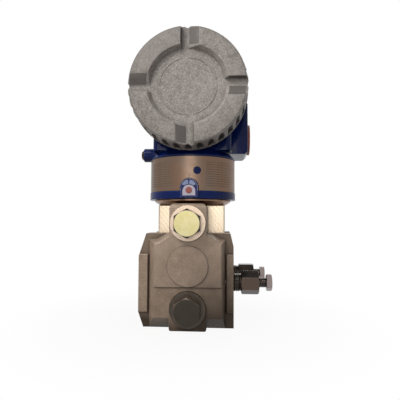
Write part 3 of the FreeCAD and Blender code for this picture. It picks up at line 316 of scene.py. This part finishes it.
def milledSteel(cut):
    look = Finish("milledSteel", metallic=0.8)
    slant = (0, math.radians(cut["slant"]), 0)
    place = look.stretched(1, 1, 1, slant)
    marks = look.node("TexWave", {"wave_type": "BANDS", "bands_direction": "X"},
                      {"Vector": place, "Scale": cut["marks"], "Distortion": 3.0, "Detail": 2.0})
    broad = look.noise(cut["cloud"], 3, 0.6, look.stretched(1, 1, cut["streak"], slant))
    rounded, edge = look.edges(cut["edge"])
    color = look.mix(look.clamp(broad, 0.35, 0.7), cut["shade"], cut["color"])
    color = look.mix(edge * 0.7, color, cut["worn"])
    rough = look.clamp(broad * 0.85 + marks * 0.15, 0.2, 0.8, 0.2, 0.36)
    return look.finish(color, rough, marks * 0.2 + broad * 0.6, cut["relief"], rounded)


# turned and plated steel, with painted shade on the low fasteners and on the sides and corners of the clamping
# bolts' heads, and a painted highlight on the low head's rim
turnedLook = {"cloud": 130, "grain": 1800, "edge": 0.0004, "relief": 0.00003, "flankShade": (0.015, 0.01, 0.008),
              "paintedShade": (0.012, 0.008, 0.005), "flankHighlight": (0.11, 0.08, 0.06), "discBlend": 0.0003,
              "lowShadeZone": (0.045, 0.06), "flankHighlightZone": (-0.014, 0.002), "flankHighlightTop": 0.05}
turnedSteels = {
    "neckSteel": {"color": (0.3, 0.19, 0.13), "shade": (0.16, 0.095, 0.06)},
    "platedSteel": {"color": (0.55, 0.5, 0.3), "shade": (0.4, 0.35, 0.2)},
    "boltSteel": {"color": (0.56, 0.52, 0.3), "shade": (0.45, 0.4, 0.17), "metallic": 0.4, "paintedShade": 0.97,
                  "disc": 0.0092},
    "washerSteel": {"color": (0.52, 0.42, 0.33), "shade": (0.38, 0.3, 0.23), "rough": 0.26, "metallic": 0.55,
                    "paintedShade": 0.88},
}


def turnedSteel(name, color, shade, rough=0.3, metallic=1.0, paintedShade=0.0, disc=0.0):
    look = Finish(name, metallic=metallic)
    cloud = look.noise(turnedLook["cloud"], 3, 0.6)
    fine = look.noise(turnedLook["grain"], 2)
    rounded, wear = look.edges(turnedLook["edge"])
    tint = look.mix(look.clamp(cloud, 0.35, 0.7), shade, color)
    tint = look.mix(wear * 0.6, tint, paler(color, 1.35))
    x, _, z = look.axes()
    if disc:  # painted shade: the sides and corners of a hexagon are painted dark, its disc stays bright
        low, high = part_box("cover_bolts")
        axis = (high[2] - low[2]) / 2 - (high[0] - low[0]) / math.sqrt(3)
        offset = abs(z - (low[2] + high[2]) / 2) - axis
        rim = look.clamp((x * x + offset * offset) ** 0.5, disc, disc + turnedLook["discBlend"])
        tint = look.mix(rim, tint, turnedLook["flankShade"])
    if paintedShade:  # painted shade: low fasteners are painted darker
        tint = look.mix(look.clamp(z + cloud * 0.01, *turnedLook["lowShadeZone"], paintedShade, 0.0), tint, turnedLook["paintedShade"])
    if disc:  # painted highlight: the rim of the low head is painted a lighter brown
        flankHighlight = look.clamp(x - z + cloud * 0.02, *turnedLook["flankHighlightZone"], 0.85, 0.15)
        tint = look.mix(rim * (z < turnedLook["flankHighlightTop"]) * flankHighlight, tint, turnedLook["flankHighlight"])
    rough = look.clamp(cloud * 0.7 + fine * 0.3, 0.3, 0.7, rough - 0.06, rough + 0.1)
    return look.finish(tint, rough, fine * 0.5 + cloud * 0.5, turnedLook["relief"], rounded)


# turned stainless of the vents, painted dark as a reflection of dark surroundings, with painted highlights on the
# flats facing the front and on the screw heads
ventLook = {"low": (0.015, 0.012, 0.01), "high": (0.04, 0.031, 0.026), "flat": (0.09, 0.065, 0.052),
            "head": (0.28, 0.23, 0.22), "worn": (0.2, 0.17, 0.15), "cloud": 160, "grain": 1800, "edge": 0.0005,
            "relief": 0.00004, "flatDepth": 0.0003, "headLength": 0.0042}


def ventSteel(vent):
    look = Finish("ventSteel", metallic=1.0)
    cloud = look.noise(vent["cloud"], 3, 0.6)
    fine = look.noise(vent["grain"], 2)
    rounded, wear = look.edges(vent["edge"])
    x, y, _ = look.axes()
    tint = look.mix(look.clamp(cloud, 0.35, 0.7), vent["low"], vent["high"])
    plug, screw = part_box("front_vent_plug"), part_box("front_vent_screw")
    # painted highlight: the flats facing the front are painted lighter, and the screw head lighter still
    onPlug = (y < plug[0][1] + vent["flatDepth"]) * (x < plug[1][0])
    onScrew = (y < screw[0][1] + vent["flatDepth"]) * (x > plug[1][0])
    tint = look.mix(look.clamp(onPlug + onScrew, 0.0, 1.0), tint, vent["flat"])
    tint = look.mix((x > screw[1][0] - vent["headLength"]) * 0.9, tint, vent["head"])
    tint = look.mix(wear * 0.7, tint, vent["worn"])
    rough = look.clamp(cloud * 0.7 + fine * 0.3, 0.3, 0.7, 0.14, 0.26)
    return look.finish(tint, rough, fine * 0.3 + cloud * 0.7, vent["relief"], rounded)


# wrapped stainless data plate, left without print, with faint blank ruling
plateLook = {"warm": (0.17, 0.1, 0.065), "cool": (0.15, 0.125, 0.105), "ink": (0.06, 0.045, 0.035), "brush": 1400,
             "cloud": 30, "dash": 900, "row": 0.00185, "line": 0.34, "fieldFrom": 0.0128, "fieldTo": 0.0315,
             "margin": 0.003, "edge": 0.0002, "relief": 0.00003}


def brushedPlate(plate):
    look = Finish("brushedPlate", metallic=1.0, anisotropy=0.35)
    brush = look.noise(plate["brush"], 2, 0.6, look.stretched(0.05, 0.05, 1))
    cloud = look.noise(plate["cloud"], 3, 0.6, look.stretched(1, 1, 0.4))
    color = look.mix(look.clamp(cloud, 0.35, 0.7), plate["warm"], plate["cool"])
    x, y, z = look.axes()
    low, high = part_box("data_plate")
    line = look.node("Math", {"operation": "FRACT"}, {0: (z - low[2]) / plate["row"]}) < plate["line"]
    field = (abs(x) > plate["fieldFrom"]) * (abs(x) < plate["fieldTo"]) * (y < 0)
    field = field * (z > low[2] + plate["margin"]) * (z < high[2] - plate["margin"])
    dashes = look.clamp(look.noise(plate["dash"], 1, place=look.stretched(1, 1, 0.02)), 0.44, 0.5)
    ruling = line * field * (0.35 + dashes * 0.65)
    color = look.mix(ruling * 0.5, color, plate["ink"])
    rounded = look.edges(plate["edge"])[0]
    rough = look.clamp(brush, 0.3, 0.7, 0.3, 0.42) + ruling * 0.2
    return look.finish(color, rough, brush * 0.6 - ruling * 0.3, plate["relief"], rounded)


# plastics and rubber
mouldedLook = {"grain": 1200, "cloud": 90, "edge": 0.0003, "relief": 0.00003}
mouldings = {
    "paleBlue": {"color": (0.19, 0.25, 0.45), "shade": (0.13, 0.18, 0.37), "rough": 0.3},
    "whitePlastic": {"color": (0.4, 0.38, 0.5), "shade": (0.34, 0.32, 0.42), "rough": 0.3, "coat": 0.2},
    "orangePlastic": {"color": (0.29, 0.055, 0.035), "shade": (0.2, 0.035, 0.022), "rough": 0.4},
    "redPlastic": {"color": (0.34, 0.05, 0.022), "shade": (0.24, 0.03, 0.015), "rough": 0.35},
    "blackPlastic": {"color": (0.045, 0.045, 0.05), "shade": (0.02, 0.02, 0.022), "rough": 0.45},
    "rubber": {"color": (0.025, 0.025, 0.025), "shade": (0.012, 0.012, 0.012), "rough": 0.6},
    "seatPlastic": {"color": (0.8, 0.79, 0.75), "shade": (0.66, 0.65, 0.6), "rough": 0.45},
}


def moulded(name, color, shade, rough, coat=0.0):
    look = Finish(name, coat=coat)
    fine = look.noise(mouldedLook["grain"], 2)
    cloud = look.noise(mouldedLook["cloud"], 2)
    rounded, wear = look.edges(mouldedLook["edge"])
    tint = look.mix(look.clamp(cloud, 0.3, 0.7), shade, color)
    tint = look.mix(wear * 0.3, tint, paler(color, 1.3, 0.02))
    rough = look.clamp(fine, 0.3, 0.7, rough - 0.05, rough + 0.1)
    return look.finish(tint, rough, fine, mouldedLook["relief"], rounded)


finishes = {"castGrey": castGrey(greyCasting), "bluePaint": bluePaint(bluePaintLook),
            "castSteel": castSteel(steelCasting), "milledSteel": milledSteel(milledLook),
            "ventSteel": ventSteel(ventLook), "brushedPlate": brushedPlate(plateLook)}
finishes.update({name: turnedSteel(name, **look) for name, look in turnedSteels.items()})
finishes.update({name: moulded(name, **look) for name, look in mouldings.items()})
print("finishes made:", len(finishes))

# which finish each frame node wears
nodeFinishes = {
    "sensor_body": "milledSteel", "sensor_neck": "neckSteel", "measuring_cell": "ventSteel",
    "front_diaphragm": "ventSteel", "rear_diaphragm": "ventSteel", "front_process_cover": "castSteel",
    "rear_process_cover": "castSteel", "front_gasket": "seatPlastic", "rear_gasket": "seatPlastic",
    "front_vent_plug": "ventSteel", "rear_vent_plug": "ventSteel", "front_vent_screw": "ventSteel",
    "rear_vent_screw": "ventSteel", "cover_bolts": "boltSteel", "cover_washers": "washerSteel",
    "cover_nuts": "platedSteel", "neck_seal": "rubber", "sensor_lead": "blackPlastic", "housing": "bluePaint",
    "button_bezel": "whitePlastic", "zero_button": "orangePlastic", "data_plate": "brushedPlate",
    "electronics_module": "blackPlastic", "module_screws": "platedSteel", "terminal_block": "blackPlastic",
    "terminal_screws": "platedSteel", "terminal_fixings": "platedSteel", "feedthrough": "blackPlastic",
    "front_cover": "castGrey", "rear_cover": "castGrey", "front_cover_seal": "rubber", "rear_cover_seal": "rubber",
    "conduit_cap": "redPlastic", "earth_washer": "ventSteel", "earth_screw": "ventSteel",
}
for node, finish in nodeFinishes.items():
    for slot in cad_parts[node].material_slots:
        slot.material = finishes[finish]
print("frame nodes dressed:", len(nodeFinishes))


def addPiece(name, mesh, body, finish):
    data = bpy.data.meshes.new(name)
    mesh.to_mesh(data)
    mesh.free()
    piece = bpy.data.objects.new(name, data)
    bpy.context.collection.objects.link(piece)
    data.materials.append(finishes[finish])
    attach(piece, body)


# scallops cut through the front edge of each screwed cover, one over each flute
coverGrip = {"flutes": 32, "radius": 0.0029, "reach": 0.0469, "depth": 0.006, "steps": 20,
             "over": 0.001, "merge": 0.000002, "sharp": 30}


def scallopedCover(node, body, look):
    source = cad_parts[node]
    low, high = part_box(node)
    height = (low[2] + high[2]) / 2
    front = low[1] - look["over"] if low[1] < 0 else high[1] - look["depth"]
    mesh = bmesh.new()
    for number in range(look["flutes"]):
        angle = math.tau * number / look["flutes"]
        across, up = look["reach"] * math.cos(angle), look["reach"] * math.sin(angle)
        place = Vector((across, front + look["depth"] / 2, height + up))
        turn = Matrix.Translation(place) @ Matrix.Rotation(math.pi / 2, 4, "X")
        bmesh.ops.create_cone(mesh, cap_ends=True, segments=look["steps"], radius1=look["radius"],
                              radius2=look["radius"], depth=look["depth"] + 2 * look["over"], matrix=turn)
    data = bpy.data.meshes.new("cutter")
    mesh.to_mesh(data)
    mesh.free()
    cutter = bpy.data.objects.new("cutter", data)
    copied = bmesh.new()
    copied.from_mesh(source.data)
    copied.transform(source.matrix_world)
    bmesh.ops.remove_doubles(copied, verts=copied.verts, dist=look["merge"])
    shape = bpy.data.meshes.new(node + "Look")
    copied.to_mesh(shape)
    copied.free()
    for layer in [item.name for item in shape.attributes if "normal" in item.name]:  # so the cut shades cleanly
        shape.attributes.remove(shape.attributes[layer])
    piece = bpy.data.objects.new(node + "Look", shape)
    for item in (piece, cutter):
        bpy.context.collection.objects.link(item)
    cut = piece.modifiers.new("scallops", "BOOLEAN")
    cut.operation, cut.solver, cut.object = "DIFFERENCE", "EXACT", cutter
    bpy.context.view_layer.update()
    result = bpy.data.meshes.new_from_object(piece.evaluated_get(bpy.context.evaluated_depsgraph_get()))
    piece.modifiers.clear()
    piece.data = result
    bpy.data.objects.remove(cutter)
    result.materials.clear()
    result.materials.append(finishes["castGrey"])
    result.polygons.foreach_set("use_smooth", [True] * len(result.polygons))
    result.set_sharp_from_angle(angle=math.radians(look["sharp"]))
    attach(piece, body)
    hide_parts(node)


scallopedCover("front_cover", "front_cover_turn", coverGrip)
scallopedCover("rear_cover", "rear_cover_turn", coverGrip)
print("covers scalloped")

# threads that show beside the vents and beyond the nuts: sizes, and how far each starts and stops off its ends
threadLook = {
    "vent": {"radius": 0.00695, "root": 0.00034, "pitch": 0.0014, "from": 0.0002, "to": 0.0057},
    "stem": {"radius": 0.0038, "root": 0.0003, "pitch": 0.001, "from": 0.0002, "to": 0.0045},
    "bolt": {"radius": 0.00652, "root": 0.00014, "pitch": 0.0009, "from": 0.0001, "to": 0.0011},
    "rise": 0.1, "crest": 0.42, "fall": 0.52, "steps": 40,
}


# thread crests as shallow rings on a shank
def threadRings(name, body, finish, axis, start, end, look):
    mesh = bmesh.new()
    direction, side = Vector(axis), Vector((0, 0, 1))
    begin, length = Vector(start), (Vector(end) - Vector(start)).length
    pitch, count = look["pitch"], int(length / look["pitch"])
    crest, root = side * look["radius"], side * (look["radius"] - look["root"])
    profile = [begin + root]
    for number in range(count):
        along = number * pitch + pitch * threadLook["rise"]
        profile.append(begin + direction * along + root)
        profile.append(begin + direction * (along + pitch * threadLook["crest"]) + crest)
        profile.append(begin + direction * (along + pitch * threadLook["fall"]) + crest)
    profile.append(begin + direction * (count * pitch) + root)
    points = [mesh.verts.new(point) for point in profile]
    for one, other in zip(points, points[1:]):
        mesh.edges.new((one, other))
    bmesh.ops.spin(mesh, geom=mesh.verts[:] + mesh.edges[:], cent=begin, axis=direction, angle=math.tau,
                   steps=threadLook["steps"], use_merge=True)
    bmesh.ops.holes_fill(mesh, edges=[edge for edge in mesh.edges if edge.is_boundary])
    bmesh.ops.recalc_face_normals(mesh, faces=mesh.faces)
    addPiece(name, mesh, body, finish)


for side in ("front", "rear"):
    plugLow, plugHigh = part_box(side + "_vent_plug")
    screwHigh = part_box(side + "_vent_screw")[1]
    ventY, ventZ = (plugLow[1] + plugHigh[1]) / 2, (plugLow[2] + plugHigh[2]) / 2
    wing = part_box(side + "_process_cover")[1][0]
    vent, stem = threadLook["vent"], threadLook["stem"]
    threadRings(side + "VentThread", "process_body", "ventSteel", (1, 0, 0), (wing + vent["from"], ventY, ventZ),
                (wing + vent["to"], ventY, ventZ), vent)
    threadRings(side + "StemThread", side + "_vent", "ventSteel", (1, 0, 0),
                (plugHigh[0] + stem["from"], ventY, ventZ), (screwHigh[0] - stem["to"], ventY, ventZ), stem)
nutHigh, (boltLow, boltHigh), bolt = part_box("cover_nuts")[1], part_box("cover_bolts"), threadLook["bolt"]
corner = (boltHigh[0] - boltLow[0]) / math.sqrt(3)
for place, height in (("lower", boltLow[2] + corner), ("upper", boltHigh[2] - corner)):
    threadRings(place + "BoltThread", "process_body", "boltSteel", (0, 1, 0),
                (0, nutHigh[1] + bolt["from"], height), (0, boltHigh[1] - bolt["to"], height), bolt)
print("threads cut")

# painted rim, pale window and set mark of the zero adjuster, thin inlays on the arch
archLook = {"half": 0.0069, "rim": 0.00032, "window": 0.0058, "low": 22, "split": 6, "border": 0.0006,
            "proud": 0.00012, "sunk": 0.0003, "tuck": 0.0001, "foot": 0.0035, "lift": 0.003, "steps": 32,
            "windowSteps": 14, "markHalf": 0.0002, "markFrom": 0.0008, "markTo": 0.0038, "markProud": 0.00004}


def inlay(name, outlines, front, finish, thick):
    mesh = bmesh.new()
    for points in outlines:
        near = [mesh.verts.new((x, front, z)) for x, z in points]
        face = mesh.faces.new(near)
        grown = bmesh.ops.extrude_face_region(mesh, geom=[face])
        moved = [item for item in grown["geom"] if isinstance(item, bmesh.types.BMVert)]
        bmesh.ops.translate(mesh, verts=moved, vec=(0, thick, 0))
    bmesh.ops.recalc_face_normals(mesh, faces=mesh.faces)
    addPiece(name, mesh, "topworks", finish)


def arcPoints(centre, radius, start, end, steps):
    turns = [math.radians(start + (end - start) * number / steps) for number in range(steps + 1)]
    return [(radius * math.cos(turn), centre + radius * math.sin(turn)) for turn in turns]


def archInlays(look):
    bezelLow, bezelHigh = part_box("button_bezel")
    face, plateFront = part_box("housing")[0][1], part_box("data_plate")[0][1]
    field = bezelHigh[2] - bezelHigh[0]
    centre = field + look["lift"]
    outer, inner = look["half"] - look["tuck"], look["half"] - look["rim"]
    foot = bezelLow[2] + look["foot"]
    rim = [(outer, foot)] + arcPoints(centre, outer, 0, 180, look["steps"]) + [(-outer, foot)]
    rim += [(-inner, foot)] + arcPoints(centre, inner, 180, 0, look["steps"]) + [(inner, foot)]
    inlay("archRim", [rim], face - look["proud"], "whitePlastic", look["proud"] + look["sunk"])
    windows, bezel, lift = [], bezelHigh[0] + look["border"], centre - field
    for start, end in ((look["low"], 90 - look["split"]), (90 + look["split"], 180 - look["low"])):
        shape = arcPoints(centre, look["window"], start, end, look["windowSteps"])
        for x, z in reversed(arcPoints(0, 1, start, end, look["windowSteps"])):  # back along the bezel's own edge
            reach = -lift * z + math.sqrt(lift * lift * z * z + bezel * bezel - lift * lift)
            shape.append((reach * x, centre + reach * z))
        windows.append(shape)
    inlay("archWindow", windows, face - look["proud"], "paleBlue", look["proud"] + look["sunk"])
    low, high = [centre + look["half"] + look[key] for key in ("markFrom", "markTo")]
    mark = [(-look["markHalf"], low), (look["markHalf"], low), (look["markHalf"], high), (-look["markHalf"], high)]
    inlay("setMark", [mark], plateFront - look["markProud"], "blackPlastic", look["sunk"])


archInlays(archLook)
print("adjuster inlaid")


# a close soft key beside the camera, a high softbox on the left, one behind, and a pale floor
studio = {
    "near": {"place": (-0.02, -0.36, 0.16), "target": (0, -0.03, 0.12), "size": (0.14, 0.2), "power": 0.27},
    "high": {"place": (-0.4, -0.52, 0.74), "target": (0, 0, 0.13), "size": (0.42, 0.36), "power": 4.8},
    "rear": {"place": (0.3, 0.75, 0.6), "target": (0, 0, 0.12), "size": (0.6, 0.4), "power": 1.9},
    "tint": (1, 0.955, 0.9), "strength": 1.6, "left": (0.2, 0.105, 0.055), "right": (0.012, 0.008, 0.006),
    "sky": ((0.3, (0.015, 0.013, 0.012)), (0.52, (0.075, 0.065, 0.058)), (0.95, (0.32, 0.3, 0.29))),
    "leftZone": (-0.75, -0.15), "rightZone": (0.9, 0.97), "level": (0.2, 0.6),
    "floor": (0.15, 0.14, 0.13), "floorHalf": 3, "floorDrop": 0.0003, "shadow": (0.03, 0.16), "shadowPale": 0.93,
}


def addLamp(name, look):
    data = bpy.data.lights.new(name, "AREA")
    data.shape = "RECTANGLE"
    data.size, data.size_y = look["size"]
    data.energy = look["power"]
    data.color = studio["tint"]
    lamp = bpy.data.objects.new(name, data)
    bpy.context.collection.objects.link(lamp)
    lamp.location = look["place"]
    lamp.rotation_euler = (Vector(look["target"]) - Vector(look["place"])).to_track_quat("-Z", "Y").to_euler()


class SkyNodes(Finish):  # the same node helper, on the world's own tree
    def __init__(self, world):
        world.use_nodes = True
        self.tree = world.node_tree
        self.tree.nodes.clear()
        self.place = self.node("TexCoord", output="Generated")


def addSky(look):
    world = bpy.data.worlds.new("studioSky")
    bpy.context.scene.world = world
    sky = SkyNodes(world)
    across, _, height = sky.axes()
    color = sky.node("ValToRGB", {"stops": look["sky"]}, {0: height * 0.5 + 0.5})
    level = sky.clamp(height, *look["level"], 1.0, 0.0)
    color = sky.mix(sky.clamp(across, *look["leftZone"], 1.0, 0.0) * level, color, look["left"])
    color = sky.mix(sky.clamp(across, *look["rightZone"]) * level, color, look["right"])
    soft = sky.node("Background", None, {0: color, 1: look["strength"]})
    white = sky.node("Background", None, {0: (1, 1, 1), 1: 1.0})
    seen = sky.backdropRays()
    sky.node("OutputWorld", None, {0: sky.node("MixShader", None, {0: seen, 1: soft, 2: white})}, None)


def addFloor(look):
    mesh = bmesh.new()
    bmesh.ops.create_grid(mesh, x_segments=1, y_segments=1, size=look["floorHalf"])
    bmesh.ops.translate(mesh, verts=mesh.verts, vec=(0, 0, cadBox[0][2] - look["floorDrop"]))
    data = bpy.data.meshes.new("floor")
    mesh.to_mesh(data)
    mesh.free()
    floor = bpy.data.objects.new("floor", data)
    bpy.context.collection.objects.link(floor)
    pale = Finish("paleFloor", color=look["floor"], roughness=0.9)
    surface = Signal(pale, pale.shader.outputs[0])
    away = pale.node("VectorMath", {"operation": "LENGTH"}, {0: pale.place}, "Value")
    bright = pale.node("Emission", None, {0: (1, 1, 1), 1: 1.0})
    fade = pale.clamp(away, *look["shadow"], look["shadowPale"], 1.0)  # the shadow stays faint near the foot
    faded = pale.node("MixShader", None, {0: fade, 1: surface, 2: bright})
    seen = pale.backdropRays()
    out = pale.tree.nodes["Material Output"]
    pale.feed(out.inputs[0], pale.node("MixShader", None, {0: seen, 1: surface, 2: faded}))
    data.materials.append(pale.material)


for lampName in ("near", "high", "rear"):
    addLamp(lampName + "Lamp", studio[lampName])
addSky(studio)
addFloor(studio)
bpy.context.scene.view_settings.view_transform = "Standard"
print("studio ready")
